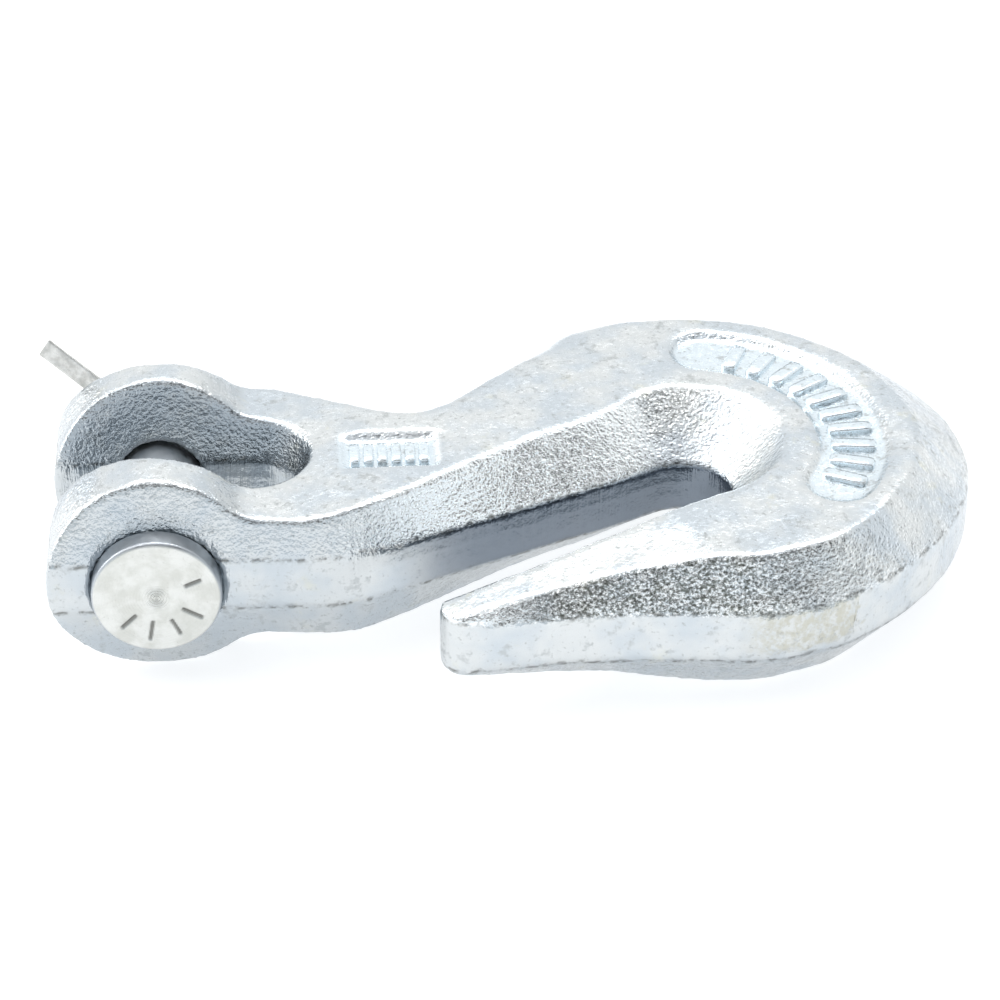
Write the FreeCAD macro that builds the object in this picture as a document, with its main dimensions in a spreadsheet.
import math
import os

import FreeCAD, Part
import Sketcher
from FreeCAD import Rotation, Vector

# Clevis grab hook for 3/8 in chain. Millimetres.
# Origin: middle of the clevis pin between the two ears. X runs toward the bowl, Y along the pin
# away from its head, Z up, square to the flat of the hook.

os.makedirs("parts", exist_ok=True)
doc = FreeCAD.newDocument("clevis_grab_hook")
sheet = doc.addObject("Spreadsheet::Sheet", "Sizes")
next_row = 1


def size(alias, value, note):
    """Put one driving dimension in the sheet: note, value, alias."""
    global next_row
    sheet.set(f"A{next_row}", note)
    sheet.set(f"B{next_row}", str(value))
    sheet.setAlias(f"B{next_row}", alias)
    next_row += 1


# ---------------------------------------------------------------- forging, general
size("band_half", 3.4, "half height of the trimmed band at the parting line")
size("land_half", 9.5, "half thickness of the hook between its two flat lands")
size("land_press", 0.3, "how far the forging stands above its lands before they are pressed flat")
size("cut_margin", 1.0, "how far a cut runs past the metal")
# ---------------------------------------------------------------- clevis
size("lobe_radius", 13.8, "radius of the round ears about the pin")
size("clevis_width", 33.6, "width over both ears at the parting line")
size("clevis_gap", 12.2, "gap between the ears at the parting line")
size("ear_draft", 14.5, "slope of the outer ear faces, degrees")
size("gap_draft", 18.0, "slope of the gap faces, degrees")
size("gap_end", 11.8, "pin axis to the centre of the round closed end of the gap")
size("neck_half", 8.6, "half thickness of the neck behind the ears")
size("neck_fillet", 6.0, "radius between each lobe and the neck")
size("neck_run", 0.6, "straight neck after that radius")
size("bore_clearance", 0.8, "hole through both ears, over the pin")
size("seat_clearance", 0.7, "spot face, over the pin head")
size("seat_depth", 0.9, "depth of the spot face below the band")
# ---------------------------------------------------------------- chain slot
size("throat_x", 66.9, "pin axis to the centre of the closed end of the chain slot")
size("throat_y", -4.3, "sideways place of that centre")
size("slot_width", 12.0, "width of the chain slot at the parting line")
size("slot_turn", 26.0, "angle of the slot to the long axis, degrees")
# ---------------------------------------------------------------- pin and cotter
size("pin_dia", 11.1, "clevis pin, 7/16 in")
size("head_dia", 16.2, "pin head")
size("head_thick", 3.0, "pin head thickness")
size("head_edge", 0.3, "chamfer on the pin head")
size("head_gap", 0.15, "head to spot face")
size("pin_chamfer", 0.9, "chamfer on the plain end")
size("pin_past_hole", 3.0, "centre of the cross hole to the plain end of the pin")
size("cotter_stand_off", 3.6, "outer ear face to the centre of the cross hole")
size("cotter_turn", 148.0, "direction of the cotter's legs about the pin, degrees from X")
size("cotter_dia", 2.7, "folded cotter, across both legs")
size("cotter_clearance", 0.3, "cross hole over the cotter")
size("cotter_slit", 0.1, "gap between the two flats")
size("leg_long", 18.2, "pin axis to the tip of the long leg")
size("leg_short", 9.6, "pin axis to the tip of the short leg")
size("leg_spread", 24.0, "each leg bent away from the fold line, degrees")
size("bend_radius", 2.0, "bends of the cotter, at its flat face")
size("bend_gap", 0.8, "pin surface to where the legs start to spread")
size("eye_radius", 1.8, "inside radius of the cotter's eye")
size("eye_gap", 0.6, "pin surface to the eye")
# ---------------------------------------------------------------- nose of the point
size("nose_along", 36.5, "slot centre to the centre of the round nose, along the slot")
size("nose_inset", 3.1, "slot wall to the centre of the nose")
size("nose_radius", 3.5, "radius of the nose in plan")
# ---------------------------------------------------------------- recesses in the upper land
size("recess_depth", 0.9, "depth of both recesses")
size("recess_draft", 45.0, "slope of the recess sides, degrees")
size("plate_back", 1.5, "rectangular recess: middle, from the waist toward the pin")
size("plate_y", -1.4, "rectangular recess: middle across the hook")
size("plate_long", 13.2, "rectangular recess: length at the land")
size("plate_wide", 8.0, "rectangular recess: width at the land")
size("sickle_along", 0.6, "curved recess: slot centre to its centre, along the hook")
size("sickle_across", 3.4, "curved recess: slot centre to its centre, across the hook")
size("sickle_radius", 21.2, "curved recess: radius of its middle line")
size("sickle_wide", 9.6, "curved recess: width at the land")
size("sickle_from", -31.0, "curved recess: one end, degrees from X")
size("sickle_to", 78.0, "curved recess: other end, degrees from X")

# Stations of the forging from the clevis to the tip. Each is an upright eight-sided section that
# starts on the slot side (or the near side of the shank) and runs outward.
# Rise: the part of the full height above the band that the section reaches. The bowl reaches it all.
size("shoulder_back", 16.3, "slot centre back to the shoulder section")
# name, share of the way from the neck to the shoulder, sideways place of the near side,
# direction in degrees from Y toward X, inner land, outer land and width from that side, rise
shank_stations = [
    ("root", 0.22, -16.9, 0, 1.4, 28.4, 32.0, 0.875),
    ("waist", 0.465, -14.0, 0, 3.0, 21.0, 25.2, 1.0),
    ("arm", 0.71, -10.0, -11.5, 4.8, 18.3, 23.4, 1.0),
    ("shoulder", 1.0, -5.3, -20.5, 6.6, 20.7, 26.4, 1.0),
]
# Round the closed end of the slot the sections fan out from its centre.
# name, angle from X, bevel on the slot side, outer land, outer band (the last two from the centre)
bowl_stations = [
    ("bowl_a", 116.0, 8.7, 31.4, 37.6),
    ("bowl_b", 90.0, 10.1, 32.0, 38.4),
    ("bowl_c", 60.0, 10.1, 32.2, 39.2),
    ("bowl_d", 30.0, 9.1, 31.2, 39.4),
    ("bowl_e", 5.0, 7.5, 29.7, 37.4),
    ("bowl_f", -20.0, 5.9, 27.4, 33.8),
    ("bowl_g", -42.0, 4.9, 26.1, 31.2),
    ("bowl_h", -64.0, 4.5, 24.5, 29.5),
]
# Along the point the sections stand square to the slot.
# name, distance along the slot, bevel on the slot side, outer land, outer band, rise
point_stations = [
    ("point_a", 9.0, 4.3, 21.7, 26.2, 0.94),
    ("point_b", 19.0, 3.4, 16.8, 20.4, 0.66),
    ("point_c", 30.0, 2.3, 13.4, 15.6, 0.38),
    ("point_d", 40.6, 0.9, 10.5, 11.4, 0.095),
]
for name, share, y, turn, inner, outer, width, rise in shank_stations:
    size(f"{name}_share", share, f"{name}: share of the way from the neck to the shoulder")
    size(f"{name}_y", y, f"{name}: sideways place of the near side")
    size(f"{name}_turn", turn, f"{name}: direction of the section")
    size(f"{name}_inner", inner, f"{name}: near side to the land")
    size(f"{name}_outer", outer, f"{name}: near side to the far edge of the land")
    size(f"{name}_width", width, f"{name}: width at the band")
    size(f"{name}_rise", rise, f"{name}: share of the full height above the band")
for name, turn, inner, outer, width in bowl_stations:
    size(f"{name}_turn", turn, f"{name}: direction from the slot centre")
    size(f"{name}_inner", inner, f"{name}: slot wall to the land")
    size(f"{name}_outer", outer, f"{name}: slot centre to the outer edge of the land")
    size(f"{name}_width", width, f"{name}: slot centre to the band")
for name, along, inner, outer, width, rise in point_stations:
    size(f"{name}_along", along, f"{name}: slot centre to the section, along the slot")
    size(f"{name}_inner", inner, f"{name}: slot wall to the land")
    size(f"{name}_outer", outer, f"{name}: slot centre line to the outer edge of the land")
    size(f"{name}_width", width, f"{name}: slot centre line to the band")
    size(f"{name}_rise", rise, f"{name}: share of the full height above the band")
doc.recompute()


def origin_plane(body, role):
    """The body's own origin plane with this role."""
    for feature in body.Origin.OriginFeatures:
        if feature.Role == role:
            return feature
    raise ValueError(role)


def sketch_on(body, name, role):
    """A new sketch of the body, attached to one of its origin planes."""
    sketch = body.newObject("Sketcher::SketchObject", name)
    sketch.AttachmentSupport = [(origin_plane(body, role), "")]
    sketch.MapMode = "FlatFace"
    return sketch


def polygon(sketch, points):
    """Closed outline of straight sides through the points, joined corner to corner."""
    first = sketch.GeometryCount
    count = len(points)
    for index in range(count):
        start = Vector(*points[index], 0)
        end = Vector(*points[(index + 1) % count], 0)
        sketch.addGeometry(Part.LineSegment(start, end), False)
    for index in range(count):
        following = first + (index + 1) % count
        sketch.addConstraint(Sketcher.Constraint("Coincident", first + index, 2, following, 1))


def bind(sketch, constraint, name, expression):
    """Add a named dimension and tie it to the sheet."""
    index = sketch.addConstraint(constraint)
    sketch.renameConstraint(index, name)
    sketch.setExpression(f"Constraints.{name}", expression)


def measure(sketch, direction, line, end, at, name, expression):
    """Distance of a line's end from the sketch origin; the sign of its present place picks the side."""
    corners = (-1, 1, line, end) if at > 0 else (line, end, -1, 1)
    bind(sketch, Sketcher.Constraint(f"Distance{direction}", *corners, abs(at)), name, expression)


def value(alias):
    return float(sheet.get(alias))


# ---------------------------------------------------------------- hook body
hook = doc.addObject("PartDesign::Body", "hook_body")
hook.Label = "hook_body"


def station(name, place_x, place_y, turn, start, inner, outer, width, land):
    """Upright eight-sided section of the forging; every argument after the name is an expression."""
    sketch = sketch_on(hook, f"section_{name}", "YZ_Plane")
    where = f"placement(vector({place_y}; 0; {place_x}); rotation(vector(0; -1; 0); {turn}))"
    sketch.setExpression("AttachmentOffset", where)
    points = [(1, -2), (1, 2), (3, 5), (12, 5), (15, 2), (15, -2), (12, -5), (3, -5)]
    polygon(sketch, points)
    sketch.addConstraint(Sketcher.Constraint("Horizontal", 2))
    sketch.addConstraint(Sketcher.Constraint("Symmetric", 0, 1, 0, 2, -1))
    sketch.addConstraint(Sketcher.Constraint("Symmetric", 4, 1, 4, 2, -1))
    sketch.addConstraint(Sketcher.Constraint("Symmetric", 2, 1, 7, 1, -1))
    sketch.addConstraint(Sketcher.Constraint("Symmetric", 2, 2, 6, 1, -1))
    sketch.addConstraint(Sketcher.Constraint("Equal", 0, 4))
    bind(sketch, Sketcher.Constraint("DistanceY", 0, 1, 0, 2, 4), "band", "2 * Sizes.band_half")
    bind(sketch, Sketcher.Constraint("DistanceY", 7, 1, 2, 1, 10), "land", f"2 * ({land})")
    if start is None:
        sketch.addConstraint(Sketcher.Constraint("PointOnObject", 0, 1, -2))
    else:
        bind(sketch, Sketcher.Constraint("DistanceX", -1, 1, 0, 2, 1), "start", start)
    bind(sketch, Sketcher.Constraint("DistanceX", -1, 1, 2, 1, 3), "inner", inner)
    bind(sketch, Sketcher.Constraint("DistanceX", -1, 1, 2, 2, 12), "outer", outer)
    bind(sketch, Sketcher.Constraint("DistanceX", -1, 1, 4, 1, 15), "width", width)
    return sketch


# Places that follow from the sizes.
fillet_x = "sqrt((Sizes.lobe_radius + Sizes.neck_fillet)^2 - (Sizes.neck_half + Sizes.neck_fillet)^2)"
neck_x = f"{fillet_x} + Sizes.neck_run"
ear_slope = "tan(Sizes.ear_draft)"
neck_bevel = f"(Sizes.neck_half - Sizes.band_half) * {ear_slope}"
seat_y = "Sizes.clevis_width / 2 - Sizes.seat_depth"
hole_y = "Sizes.clevis_width / 2 + Sizes.cotter_stand_off"
full_height = "Sizes.land_half + Sizes.land_press"
above_lobes = "Sizes.lobe_radius + Sizes.cut_margin"


def height(rise):
    """Half height of a section that reaches this share of the full height above the band."""
    return f"Sizes.band_half + {rise} * ({full_height} - Sizes.band_half)"


def along_shank(name):
    """Place of a shank section along the hook."""
    reach = f"Sizes.throat_x - Sizes.shoulder_back - ({neck_x})"
    return f"{neck_x} + Sizes.{name}_share * ({reach})"


def ear_profile():
    """Side view of the ears: round lobe, hollow radius, short neck."""
    sketch = sketch_on(hook, "ear_profile", "XZ_Plane")
    lobe = value("lobe_radius")
    hollow = value("neck_fillet")
    neck = value("neck_half")
    centre_x = ((lobe + hollow) ** 2 - (neck + hollow) ** 2) ** 0.5
    centre_z = neck + hollow
    end_x = centre_x + value("neck_run")
    up = Vector(centre_x, centre_z, 0)
    down = Vector(centre_x, -centre_z, 0)
    axis = Vector(0, 0, 1)
    slope = (-up).getAngle(Vector(1, 0, 0))
    lobe_from = up.getAngle(Vector(1, 0, 0))
    full = 2 * math.pi
    geometry = [
        Part.ArcOfCircle(Part.Circle(Vector(0, 0, 0), axis, lobe), lobe_from, full - lobe_from),
        Part.ArcOfCircle(Part.Circle(up, axis, hollow), full - slope, full * 0.75),
        Part.LineSegment(Vector(centre_x, neck, 0), Vector(end_x, neck, 0)),
        Part.LineSegment(Vector(end_x, neck, 0), Vector(end_x, -neck, 0)),
        Part.LineSegment(Vector(end_x, -neck, 0), Vector(centre_x, -neck, 0)),
        Part.ArcOfCircle(Part.Circle(down, axis, hollow), full * 0.25, slope),
    ]
    sketch.addGeometry(geometry, False)
    joins = [
        ("Coincident", 0, 3, -1, 1),
        ("Tangent", 0, 1, 1, 1),
        ("Tangent", 1, 2, 2, 1),
        ("Coincident", 2, 2, 3, 1),
        ("Coincident", 3, 2, 4, 1),
        ("Tangent", 4, 2, 5, 1),
        ("Tangent", 5, 2, 0, 2),
        ("Horizontal", 2),
        ("Horizontal", 4),
        ("Equal", 1, 5),
        ("Symmetric", 3, 1, 3, 2, -1),
    ]
    for join in joins:
        sketch.addConstraint(Sketcher.Constraint(*join))
    bind(sketch, Sketcher.Constraint("Radius", 0, lobe), "lobe", "Sizes.lobe_radius")
    bind(sketch, Sketcher.Constraint("Radius", 1, hollow), "hollow", "Sizes.neck_fillet")
    bind(sketch, Sketcher.Constraint("DistanceY", 3, 2, 3, 1, 2 * neck), "neck", "2 * Sizes.neck_half")
    bind(sketch, Sketcher.Constraint("DistanceX", -1, 1, 3, 1, end_x), "end", neck_x)
    return sketch


def pad(body, sketch, name, length):
    feature = body.newObject("PartDesign::Pad", name)
    feature.Profile = sketch
    feature.Midplane = True
    feature.setExpression("Length", length)
    return feature


ears = pad(hook, ear_profile(), "ears", "Sizes.clevis_width")
doc.recompute()


def outside_wedges():
    """End view of what the draft takes off the outer ear faces, above and below, on both sides."""
    sketch = sketch_on(hook, "ear_wedges", "YZ_Plane")
    side = value("clevis_width") / 2
    low = value("band_half")
    high = value("lobe_radius") + value("cut_margin")
    edge = side - (high - low) * math.tan(math.radians(value("ear_draft")))
    out = side + value("cut_margin")
    edge_size = f"Sizes.clevis_width / 2 - ({above_lobes} - Sizes.band_half) * {ear_slope}"
    out_size = "Sizes.clevis_width / 2 + Sizes.cut_margin"
    for across in (1, -1):
        for up in (1, -1):
            first = sketch.GeometryCount
            corners = [(side, low), (edge, high), (out, high), (out, low)]
            polygon(sketch, [(across * y, up * z) for y, z in corners])
            name = f"{'far' if across > 0 else 'near'}_{'top' if up > 0 else 'bottom'}"
            sketch.addConstraint(Sketcher.Constraint("Horizontal", first + 1))
            sketch.addConstraint(Sketcher.Constraint("Vertical", first + 2))
            sketch.addConstraint(Sketcher.Constraint("Horizontal", first + 3))
            measure(sketch, "X", first, 1, across * side, f"{name}_side", "Sizes.clevis_width / 2")
            measure(sketch, "Y", first, 1, up * low, f"{name}_band", "Sizes.band_half")
            measure(sketch, "Y", first, 2, up * high, f"{name}_top", above_lobes)
            measure(sketch, "X", first, 2, across * edge, f"{name}_edge", edge_size)
            measure(sketch, "X", first + 2, 1, across * out, f"{name}_out", out_size)
    return sketch


def pocket(body, sketch, name, length=None, through=False, reverse=False):
    feature = body.newObject("PartDesign::Pocket", name)
    feature.Profile = sketch
    if through:
        feature.Type = "ThroughAll"
        feature.Midplane = True
    else:
        feature.setExpression("Length", length)
        feature.Reversed = reverse
    return feature


def loft(body, kind, name, sketches):
    feature = body.newObject(f"PartDesign::{kind}", name)
    feature.Profile = (sketches[0], [""])
    feature.Sections = [(sketch, [""]) for sketch in sketches[1:]]
    return feature


pocket(hook, outside_wedges(), "ear_draft_cut", through=True)
doc.recompute()

# ---- shank, bowl and point
sections = [
    station(
        "neck", neck_x, "-Sizes.clevis_width / 2", "0", None,
        neck_bevel, f"Sizes.clevis_width - {neck_bevel}", "Sizes.clevis_width", "Sizes.neck_half",
    )
]
for name, *numbers in shank_stations:
    part = f"Sizes.{name}"
    sections.append(
        station(
            name, along_shank(name), f"{part}_y", f"{part}_turn", None,
            f"{part}_inner", f"{part}_outer", f"{part}_width", height(f"{part}_rise"),
        )
    )
slot_half = "Sizes.slot_width / 2"
for name, *numbers in bowl_stations:
    part = f"Sizes.{name}"
    sections.append(
        station(
            name, "Sizes.throat_x", "Sizes.throat_y", f"90 - {part}_turn", slot_half,
            f"{slot_half} + {part}_inner", f"{part}_outer", f"{part}_width", full_height,
        )
    )
for name, *numbers in point_stations:
    part = f"Sizes.{name}"
    sections.append(
        station(
            name,
            f"Sizes.throat_x - {part}_along * cos(Sizes.slot_turn)",
            f"Sizes.throat_y - {part}_along * sin(Sizes.slot_turn)",
            "180 - Sizes.slot_turn", slot_half,
            f"{slot_half} + {part}_inner", f"{part}_outer", f"{part}_width", height(f"{part}_rise"),
        )
    )
# Three lofts share their end sections: the shank and the point run straight, the bowl fans round.
fan_start = len(shank_stations) + 1
fan_end = fan_start + len(bowl_stations) - 1
loft(hook, "AdditiveLoft", "shank", sections[: fan_start + 1])
doc.recompute()
loft(hook, "AdditiveLoft", "bowl", sections[fan_start : fan_end + 1])
doc.recompute()
loft(hook, "AdditiveLoft", "point", sections[fan_end:])
doc.recompute()

# ---- both lands pressed flat and parallel
def press_outline():
    """Side view of what stands above and below the lands, behind the neck."""
    sketch = sketch_on(hook, "press_outline", "XZ_Plane")
    start = 14
    end = 150
    for up in (1, -1):
        first = sketch.GeometryCount
        polygon(sketch, [(start, up * 9), (end, up * 9), (end, up * 12), (start, up * 12)])
        name = "top" if up > 0 else "bottom"
        for side in (0, 2):
            sketch.addConstraint(Sketcher.Constraint("Horizontal", first + side))
        for side in (1, 3):
            sketch.addConstraint(Sketcher.Constraint("Vertical", first + side))
        measure(sketch, "X", first, 1, start, f"{name}_start", neck_x)
        measure(sketch, "X", first, 2, end, f"{name}_end", "Sizes.throat_x + 2 * Sizes.bowl_d_width")
        measure(sketch, "Y", first, 1, up * 9, f"{name}_land", "Sizes.land_half")
        measure(sketch, "Y", first + 2, 1, up * 12, f"{name}_above", f"{full_height} + Sizes.cut_margin")
    return sketch


pocket(hook, press_outline(), "pressed_lands", through=True)
doc.recompute()

# ---- gap between the ears: a long slot with a round end, drafted above and below the band
gap_half = "Sizes.clevis_gap / 2"
gap_half_top = f"({gap_half} + ({above_lobes} - Sizes.band_half) * tan(Sizes.gap_draft))"
flat = "rotation(vector(0; 0; 1); 0)"


def gap_outline(name, height, half_width):
    """Plan of the gap at one height: open end past the lobes, round end at the shank."""
    sketch = sketch_on(hook, name, "XY_Plane")
    sketch.setExpression("AttachmentOffset", f"placement(vector(0; 0; {height}); {flat})")
    end = value("gap_end")
    half = value("clevis_gap") / 2
    mouth = -value("lobe_radius") - value("cut_margin")
    axis = Vector(0, 0, 1)
    geometry = [
        Part.ArcOfCircle(Part.Circle(Vector(end, 0, 0), axis, half), -math.pi / 2, math.pi / 2),
        Part.LineSegment(Vector(end, half, 0), Vector(mouth, half, 0)),
        Part.LineSegment(Vector(mouth, half, 0), Vector(mouth, -half, 0)),
        Part.LineSegment(Vector(mouth, -half, 0), Vector(end, -half, 0)),
    ]
    sketch.addGeometry(geometry, False)
    joins = [
        ("Tangent", 0, 2, 1, 1),
        ("Coincident", 1, 2, 2, 1),
        ("Coincident", 2, 2, 3, 1),
        ("Tangent", 3, 2, 0, 1),
        ("Vertical", 2),
        ("Horizontal", 1),
        ("PointOnObject", 0, 3, -1),
    ]
    for join in joins:
        sketch.addConstraint(Sketcher.Constraint(*join))
    bind(sketch, Sketcher.Constraint("Radius", 0, half), "half_width", half_width)
    bind(sketch, Sketcher.Constraint("DistanceX", -1, 1, 0, 3, end), "end", "Sizes.gap_end")
    bind(sketch, Sketcher.Constraint("DistanceX", 2, 1, -1, 1, -mouth), "mouth", above_lobes)
    return sketch


pocket(hook, gap_outline("gap_band", "0", gap_half), "gap_at_band", through=True)
gap_sections = [
    gap_outline("gap_low", "Sizes.band_half", gap_half),
    gap_outline("gap_high", above_lobes, gap_half_top),
]
loft(hook, "SubtractiveLoft", "gap_above_band", gap_sections)
gap_sections = [
    gap_outline("gap_under", "-Sizes.band_half", gap_half),
    gap_outline("gap_bottom", f"-({above_lobes})", gap_half_top),
]
loft(hook, "SubtractiveLoft", "gap_below_band", gap_sections)
doc.recompute()


def circle_on(body, name, role, offset, diameter, centre_x=None):
    """Circle on an origin plane moved along its normal, centred on the origin or along local x."""
    sketch = sketch_on(body, name, role)
    sketch.setExpression("AttachmentOffset", offset)
    sketch.addGeometry(Part.Circle(Vector(5, 0, 0), Vector(0, 0, 1), 4), False)
    if centre_x is None:
        sketch.addConstraint(Sketcher.Constraint("Coincident", 0, 3, -1, 1))
    else:
        sketch.addConstraint(Sketcher.Constraint("PointOnObject", 0, 3, -1))
        bind(sketch, Sketcher.Constraint("DistanceX", -1, 1, 0, 3, 5), "centre", centre_x)
    bind(sketch, Sketcher.Constraint("Diameter", 0, 8), "diameter", diameter)
    return sketch


bore = "Sizes.pin_dia + Sizes.bore_clearance"
seat = "Sizes.head_dia + Sizes.seat_clearance"
bore_plane = f"placement(vector(0; 0; 0); {flat})"
pocket(hook, circle_on(hook, "bore_circle", "XZ_Plane", bore_plane, bore), "pin_bores", through=True)
seat_plane = f"placement(vector(0; 0; {seat_y}); {flat})"
seat_circle = circle_on(hook, "seat_circle", "XZ_Plane", seat_plane, seat)
pocket(hook, seat_circle, "head_seat", "Sizes.seat_depth + Sizes.cut_margin", reverse=True)
doc.recompute()


# ---- round nose at the tip
def nose_cut():
    """Plan of what is taken off round the nose: x runs along the slot, y toward the point."""
    sketch = sketch_on(hook, "nose_cut", "XY_Plane")
    turn = "rotation(vector(0; 0; 1); 180 + Sizes.slot_turn)"
    where = f"placement(vector(Sizes.throat_x; Sizes.throat_y; 0); {turn})"
    sketch.setExpression("AttachmentOffset", where)
    along = value("nose_along")
    across = value("slot_width") / 2 + value("nose_inset")
    radius = value("nose_radius")
    out = 3 * radius
    quarter = math.pi / 2
    axis = Vector(0, 0, 1)
    centre = Vector(along, across, 0)
    corners = [(along, across + radius), (along, across + out), (along + out, across + out)]
    corners += [(along + out, across - out), (along, across - out), (along, across - radius)]
    sketch.addGeometry(Part.ArcOfCircle(Part.Circle(centre, axis, radius), -quarter, quarter), False)
    for start, end in zip(corners, corners[1:]):
        sketch.addGeometry(Part.LineSegment(Vector(*start, 0), Vector(*end, 0)), False)
    for side in range(6):
        sketch.addConstraint(Sketcher.Constraint("Coincident", side, 2, (side + 1) % 6, 1))
    for side in (1, 3, 5):
        sketch.addConstraint(Sketcher.Constraint("Vertical", side))
    for side in (2, 4):
        sketch.addConstraint(Sketcher.Constraint("Horizontal", side))
    sketch.addConstraint(Sketcher.Constraint("Vertical", 0, 1, 0, 3))
    measure(sketch, "X", 0, 3, along, "along", "Sizes.nose_along")
    measure(sketch, "Y", 0, 3, across, "across", f"{slot_half} + Sizes.nose_inset")
    bind(sketch, Sketcher.Constraint("Radius", 0, radius), "radius", "Sizes.nose_radius")
    reach = "3 * Sizes.nose_radius"
    bind(sketch, Sketcher.Constraint("DistanceX", 0, 3, 3, 1, out), "past_end", reach)
    bind(sketch, Sketcher.Constraint("DistanceY", 0, 3, 3, 1, out), "past_side", reach)
    bind(sketch, Sketcher.Constraint("DistanceY", 4, 1, 0, 3, out), "into_slot", reach)
    return sketch


pocket(hook, nose_cut(), "tip_nose", through=True)
doc.recompute()


# ---- two shallow recesses with sloping sides in the upper land
def plate_outline(name, height, shrink):
    """Rectangle of the first recess at one height."""
    sketch = sketch_on(hook, name, "XY_Plane")
    middle = f"{along_shank('waist')} - Sizes.plate_back"
    where = f"placement(vector({middle}; Sizes.plate_y; {height}); {flat})"
    sketch.setExpression("AttachmentOffset", where)
    polygon(sketch, [(-6, -4), (6, -4), (6, 4), (-6, 4)])
    sketch.addConstraint(Sketcher.Constraint("Horizontal", 0))
    sketch.addConstraint(Sketcher.Constraint("Vertical", 1))
    sketch.addConstraint(Sketcher.Constraint("Horizontal", 2))
    sketch.addConstraint(Sketcher.Constraint("Symmetric", 0, 1, 1, 2, -1, 1))
    sketch.addConstraint(Sketcher.Constraint("Vertical", 3))
    length = f"Sizes.plate_long - 2 * ({shrink})"
    width = f"Sizes.plate_wide - 2 * ({shrink})"
    bind(sketch, Sketcher.Constraint("DistanceX", 0, 1, 0, 2, 12), "long", length)
    bind(sketch, Sketcher.Constraint("DistanceY", 1, 1, 1, 2, 8), "wide", width)
    return sketch


def sickle_outline(name, height, shrink):
    """Round-ended band along an arc, the second recess, at one height."""
    sketch = sketch_on(hook, name, "XY_Plane")
    centre_x = "Sizes.throat_x + Sizes.sickle_along"
    centre_y = "Sizes.throat_y + Sizes.sickle_across"
    turn = "rotation(vector(0; 0; 1); Sizes.sickle_from)"
    where = f"placement(vector({centre_x}; {centre_y}; {height}); {turn})"
    sketch.setExpression("AttachmentOffset", where)
    radius = value("sickle_radius")
    half = value("sickle_wide") / 2
    sweep = math.radians(value("sickle_to") - value("sickle_from"))
    axis = Vector(0, 0, 1)
    centre = Vector(0, 0, 0)
    first = Vector(radius, 0, 0)
    last = Rotation(axis, math.degrees(sweep)).multVec(first)
    geometry = [
        Part.ArcOfCircle(Part.Circle(centre, axis, radius + half), 0, sweep),
        Part.ArcOfCircle(Part.Circle(last, axis, half), sweep, sweep + math.pi),
        Part.ArcOfCircle(Part.Circle(centre, axis, radius - half), 0, sweep),
        Part.ArcOfCircle(Part.Circle(first, axis, half), math.pi, 2 * math.pi),
    ]
    sketch.addGeometry(geometry, False)
    joins = [
        ("Coincident", 0, 3, -1, 1),
        ("Coincident", 2, 3, -1, 1),
        ("Tangent", 0, 2, 1, 1),
        ("Tangent", 1, 2, 2, 2),
        ("Tangent", 2, 1, 3, 1),
        ("Tangent", 3, 2, 0, 1),
        ("PointOnObject", 3, 3, -1),
    ]
    for join in joins:
        sketch.addConstraint(Sketcher.Constraint(*join))
    outer = f"Sizes.sickle_radius + Sizes.sickle_wide / 2 - ({shrink})"
    inner = f"Sizes.sickle_radius - Sizes.sickle_wide / 2 + ({shrink})"
    bind(sketch, Sketcher.Constraint("Radius", 0, radius + half), "outer", outer)
    bind(sketch, Sketcher.Constraint("Radius", 2, radius - half), "inner", inner)
    across = "Sizes.sickle_radius * cos(Sizes.sickle_to - Sizes.sickle_from)"
    bind(sketch, Sketcher.Constraint("DistanceX", 1, 3, -1, 1, -last.x), "end", f"-({across})")
    return sketch


floor = "Sizes.land_half - Sizes.recess_depth"
above = "Sizes.land_half + Sizes.cut_margin"
spread = "-Sizes.cut_margin * tan(Sizes.recess_draft)"
narrow = "Sizes.recess_depth * tan(Sizes.recess_draft)"
plate = [plate_outline("plate_floor", floor, narrow), plate_outline("plate_above", above, spread)]
loft(hook, "SubtractiveLoft", "plate_recess", plate)
sickle = [sickle_outline("sickle_floor", floor, narrow), sickle_outline("sickle_above", above, spread)]
loft(hook, "SubtractiveLoft", "sickle_recess", sickle)
doc.recompute()

# ---------------------------------------------------------------- clevis pin
pin = doc.addObject("PartDesign::Body", "clevis_pin")
pin.Label = "clevis_pin"


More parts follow.
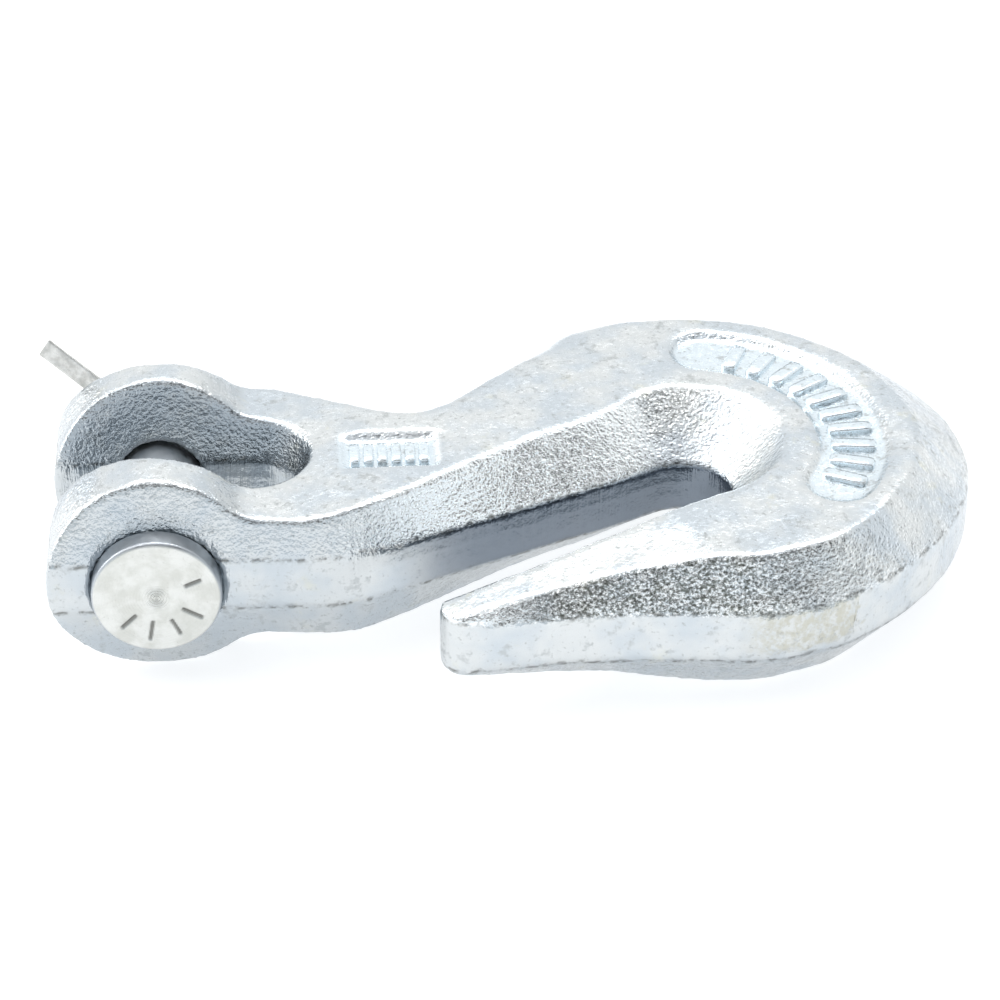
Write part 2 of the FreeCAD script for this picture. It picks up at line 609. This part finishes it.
def pin_profile():
    """Half section of the pin about its axis, head first: x is the radius, y runs along the pin."""
    sketch = sketch_on(pin, "pin_profile", "XY_Plane")
    corners = [(0, -20), (7, -20), (8, -19), (8, -15), (5, -15), (5, 22), (4, 23), (0, 23)]
    polygon(sketch, corners)
    for side in (0, 3, 6):
        sketch.addConstraint(Sketcher.Constraint("Horizontal", side))
    for side in (2, 4, 7):
        sketch.addConstraint(Sketcher.Constraint("Vertical", side))
    sketch.addConstraint(Sketcher.Constraint("PointOnObject", 0, 1, -2))
    under = f"({seat_y} + Sizes.head_gap)"
    end = f"{hole_y} + Sizes.pin_past_hole"
    edge = "Sizes.head_edge"
    measure(sketch, "Y", 0, 1, -20, "head_face", f"{under} + Sizes.head_thick")
    measure(sketch, "Y", 3, 1, -15, "head_under", under)
    measure(sketch, "X", 2, 1, 8, "head_radius", "Sizes.head_dia / 2")
    measure(sketch, "X", 1, 1, 7, "head_flat", f"Sizes.head_dia / 2 - {edge}")
    measure(sketch, "Y", 2, 1, -19, "head_edge", f"{under} + Sizes.head_thick - {edge}")
    measure(sketch, "X", 4, 1, 5, "shaft_radius", "Sizes.pin_dia / 2")
    measure(sketch, "Y", 6, 1, 23, "end", end)
    measure(sketch, "Y", 5, 1, 22, "end_edge", f"{end} - Sizes.pin_chamfer")
    measure(sketch, "X", 6, 1, 4, "end_flat", "Sizes.pin_dia / 2 - Sizes.pin_chamfer")
    return sketch


turned = pin.newObject("PartDesign::Revolution", "turned_pin")
turned.Profile = pin_profile()
turned.ReferenceAxis = (origin_plane(pin, "Y_Axis"), "")
turned.Angle = 360
doc.recompute()
across_pin = "placement(vector(0; 0; 0); rotation(vector(1; 0; 0); 180 - Sizes.cotter_turn))"
hole_circle = circle_on(
    pin, "cross_hole_circle", "YZ_Plane", across_pin, "Sizes.cotter_dia + Sizes.cotter_clearance", hole_y
)
pocket(pin, hole_circle, "cross_hole", through=True)
doc.recompute()

# ---------------------------------------------------------------- cotter pin
# Its own x axis runs from the eye to the tips of the legs, its y axis along the clevis pin.
cotter = doc.addObject("PartDesign::Body", "cotter_pin")
cotter.Label = "cotter_pin"
doc.recompute()


def cotter_path():
    """Line of the flat face: long leg, bend, straight, eye, straight, bend, short leg."""
    sketch = sketch_on(cotter, "fold_line", "XY_Plane")
    slit = value("cotter_slit") / 2
    bend_x = value("pin_dia") / 2 + value("bend_gap")
    bend = value("bend_radius")
    eye = value("eye_radius")
    wire = value("cotter_dia") / 2
    eye_x = -(value("pin_dia") / 2 + value("eye_gap") + eye + wire)
    neck_x = eye_x + ((eye + bend) ** 2 - (slit + bend) ** 2) ** 0.5
    spread = math.radians(value("leg_spread"))
    turn = Rotation(Vector(0, 0, 1), value("leg_spread"))
    half_turn = math.pi
    slope = math.tan(spread)
    axis = Vector(0, 0, 1)

    def mirrored(point):
        return Vector(point.x, -point.y, 0)

    bend_centre = Vector(bend_x, slit + bend, 0)
    bend_end = bend_centre + turn.multVec(Vector(0, -bend, 0))
    rise = bend_end.y - bend_end.x * slope
    long_tip = Vector(value("leg_long"), rise + slope * value("leg_long"), 0)
    short_tip = Vector(value("leg_short"), -(rise + slope * value("leg_short")), 0)
    eye_neck = Vector(neck_x, slit + bend, 0)
    eye_centre = Vector(eye_x, 0, 0)
    lean = (eye_centre - eye_neck).getAngle(Vector(1, 0, 0))
    up = half_turn / 2
    down = 3 * half_turn / 2
    geometry = [
        Part.LineSegment(long_tip, bend_end),
        Part.ArcOfCircle(Part.Circle(bend_centre, axis, bend), down, down + spread),
        Part.LineSegment(Vector(bend_x, slit, 0), Vector(neck_x, slit, 0)),
        Part.ArcOfCircle(Part.Circle(eye_neck, axis, bend), 2 * half_turn - lean, down),
        Part.ArcOfCircle(Part.Circle(eye_centre, axis, eye), half_turn - lean, half_turn + lean),
        Part.ArcOfCircle(Part.Circle(mirrored(eye_neck), axis, bend), up, lean),
        Part.LineSegment(Vector(neck_x, -slit, 0), Vector(bend_x, -slit, 0)),
        Part.ArcOfCircle(Part.Circle(mirrored(bend_centre), axis, bend), up - spread, up),
        Part.LineSegment(mirrored(bend_end), short_tip),
    ]
    sketch.addGeometry(geometry, False)
    return sketch


def tie_cotter_path(sketch):
    """Joins and dimensions of that line."""
    ends = [(0, 2, 1, 2), (1, 1, 2, 1), (2, 2, 3, 2), (3, 1, 4, 1)]
    ends += [(4, 2, 5, 2), (5, 1, 6, 1), (6, 2, 7, 2), (7, 1, 8, 1)]
    for join in ends:
        sketch.addConstraint(Sketcher.Constraint("Tangent", *join))
    sketch.addConstraint(Sketcher.Constraint("Horizontal", 2))
    sketch.addConstraint(Sketcher.Constraint("PointOnObject", 4, 3, -1))
    sketch.addConstraint(Sketcher.Constraint("Symmetric", 2, 1, 6, 2, -1))
    sketch.addConstraint(Sketcher.Constraint("Horizontal", 6))
    sketch.addConstraint(Sketcher.Constraint("Equal", 1, 3))
    sketch.addConstraint(Sketcher.Constraint("Equal", 1, 5))
    sketch.addConstraint(Sketcher.Constraint("Equal", 1, 7))
    radius = sketch.Geometry[1].Radius
    bind(sketch, Sketcher.Constraint("Radius", 1, radius), "bend", "Sizes.bend_radius")
    bind(sketch, Sketcher.Constraint("Radius", 4, sketch.Geometry[4].Radius), "eye", "Sizes.eye_radius")
    measure(sketch, "Y", 2, 1, sketch.Geometry[2].StartPoint.y, "slit", "Sizes.cotter_slit / 2")
    measure(sketch, "X", 2, 1, sketch.Geometry[2].StartPoint.x, "bend_start", bend_start)
    measure(sketch, "X", 4, 3, sketch.Geometry[4].Center.x, "eye_centre", eye_reach)
    measure(sketch, "X", 0, 1, sketch.Geometry[0].StartPoint.x, "long_tip", "Sizes.leg_long")
    measure(sketch, "X", 8, 2, sketch.Geometry[8].EndPoint.x, "short_tip", "Sizes.leg_short")
    spread = math.radians(value("leg_spread"))
    bind(sketch, Sketcher.Constraint("Angle", -1, 1, 0, 2, spread), "long_spread", "Sizes.leg_spread")
    bind(sketch, Sketcher.Constraint("Angle", 8, 1, -1, 1, spread), "short_spread", "Sizes.leg_spread")


bend_start = "Sizes.pin_dia / 2 + Sizes.bend_gap"
eye_reach = "Sizes.pin_dia / 2 + Sizes.eye_gap + Sizes.eye_radius + Sizes.cotter_dia / 2"
fold_line = cotter_path()
tie_cotter_path(fold_line)
doc.recompute()


def half_round():
    """Section of the wire at the tip of the long leg: flat toward the other leg, round outward."""
    sketch = sketch_on(cotter, "half_round", "YZ_Plane")
    straight = f"Sizes.leg_long - ({bend_start}) - Sizes.bend_radius * sin(Sizes.leg_spread)"
    bend_rise = "Sizes.bend_radius * (1 - cos(Sizes.leg_spread))"
    tip_y = f"Sizes.cotter_slit / 2 + {bend_rise} + ({straight}) * tan(Sizes.leg_spread)"
    turn = "rotation(vector(0; 1; 0); Sizes.leg_spread)"
    where = f"placement(vector({tip_y}; 0; Sizes.leg_long); {turn})"
    sketch.setExpression("AttachmentOffset", where)
    half = value("cotter_dia") / 2
    quarter = math.pi / 2
    circle = Part.Circle(Vector(0, 0, 0), Vector(0, 0, 1), half)
    sketch.addGeometry(Part.ArcOfCircle(circle, -quarter, quarter), False)
    sketch.addGeometry(Part.LineSegment(Vector(0, half, 0), Vector(0, -half, 0)), False)
    sketch.addConstraint(Sketcher.Constraint("Coincident", 0, 2, 1, 1))
    sketch.addConstraint(Sketcher.Constraint("Coincident", 1, 2, 0, 1))
    sketch.addConstraint(Sketcher.Constraint("Coincident", 0, 3, -1, 1))
    sketch.addConstraint(Sketcher.Constraint("Vertical", 1))
    sketch.addConstraint(Sketcher.Constraint("PointOnObject", 0, 1, -2))
    bind(sketch, Sketcher.Constraint("Radius", 0, half), "wire", "Sizes.cotter_dia / 2")
    return sketch


folded = cotter.newObject("PartDesign::AdditivePipe", "folded_wire")
folded.Profile = half_round()
folded.Spine = (fold_line, [])
cotter.setExpression(
    "Placement", f"placement(vector(0; {hole_y}; 0); rotation(vector(0; 1; 0); -Sizes.cotter_turn))"
)
doc.recompute()

# ---------------------------------------------------------------- check and write
for item in doc.Objects:
    if "Invalid" in item.State or "Error" in item.State:
        raise RuntimeError(f"{item.Name}: {item.getStatusString()}")
for body in (hook, pin, cotter):
    if body.Shape.isNull() or not body.Shape.isValid() or len(body.Shape.Solids) != 1:
        raise RuntimeError(f"{body.Label}: not one valid solid")
for body in (hook, pin, cotter):
    body.Shape.exportStep(f"parts/{body.Label}.step")
